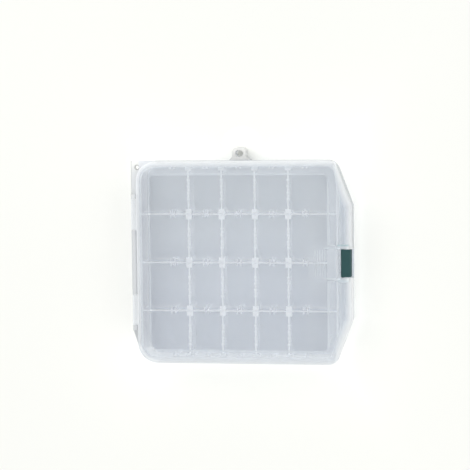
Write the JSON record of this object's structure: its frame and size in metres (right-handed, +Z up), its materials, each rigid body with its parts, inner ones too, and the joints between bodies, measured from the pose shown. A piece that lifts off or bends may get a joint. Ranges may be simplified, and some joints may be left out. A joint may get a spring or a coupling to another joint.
{
  "type": "parts sorting tray",
  "caption": "Flat lidded compartment case: rows of bins with slide-in dividers, a hinged see-through lid, a swinging front latch, a swept-back nose and a hang loop.",
  "frame": {"origin": "middle of the tray's flat underside, below the crossing of the middle partition and the middle slot", "axes": "+X from the hinge to the latch, +Y towards the hang loop, +Z up"},
  "size_m": [0.2005, 0.1947, 0.0354],
  "materials": {
    "tray_plastic": "milky translucent polypropylene, fine matt",
    "lid_plastic": "clear polypropylene, slightly hazy",
    "divider_plastic": "milky translucent polypropylene",
    "latch_plastic": "opaque dark green moulded plastic, satin",
    "pin_plastic": "natural white plastic rod"
  },
  "bodies": {
    "tray": {"tray": "tray_plastic", "hinge_pin_loop_end": "pin_plastic", "hinge_pin_plain_end": "pin_plastic", "divider_row1_1": "divider_plastic", "divider_row1_2": "divider_plastic", "divider_row1_3": "divider_plastic", "divider_row1_4": "divider_plastic", "divider_row2_1": "divider_plastic", "divider_row2_2": "divider_plastic", "divider_row2_3": "divider_plastic", "divider_row2_4": "divider_plastic", "divider_row3_1": "divider_plastic", "divider_row3_2": "divider_plastic", "divider_row3_3": "divider_plastic", "divider_row3_4": "divider_plastic", "divider_row4_1": "divider_plastic", "divider_row4_2": "divider_plastic", "divider_row4_3": "divider_plastic", "divider_row4_4": "divider_plastic"},
    "lid": {"lid": "lid_plastic"},
    "latch": {"latch": "latch_plastic"}
  },
  "joints": [
    {"name": "lid_hinge", "type": "hinge", "parent": "tray", "child": "lid", "pos_m": [-0.09525, 0, 0.0312], "axis": [0, -1, 0], "range_deg": [0, 180]},
    {"name": "latch_pivot", "type": "hinge", "parent": "lid", "child": "latch", "pos_m": [0.0939, 0, 0.0318], "axis": [0, -1, 0], "range_deg": [0, 80]}
  ]
}
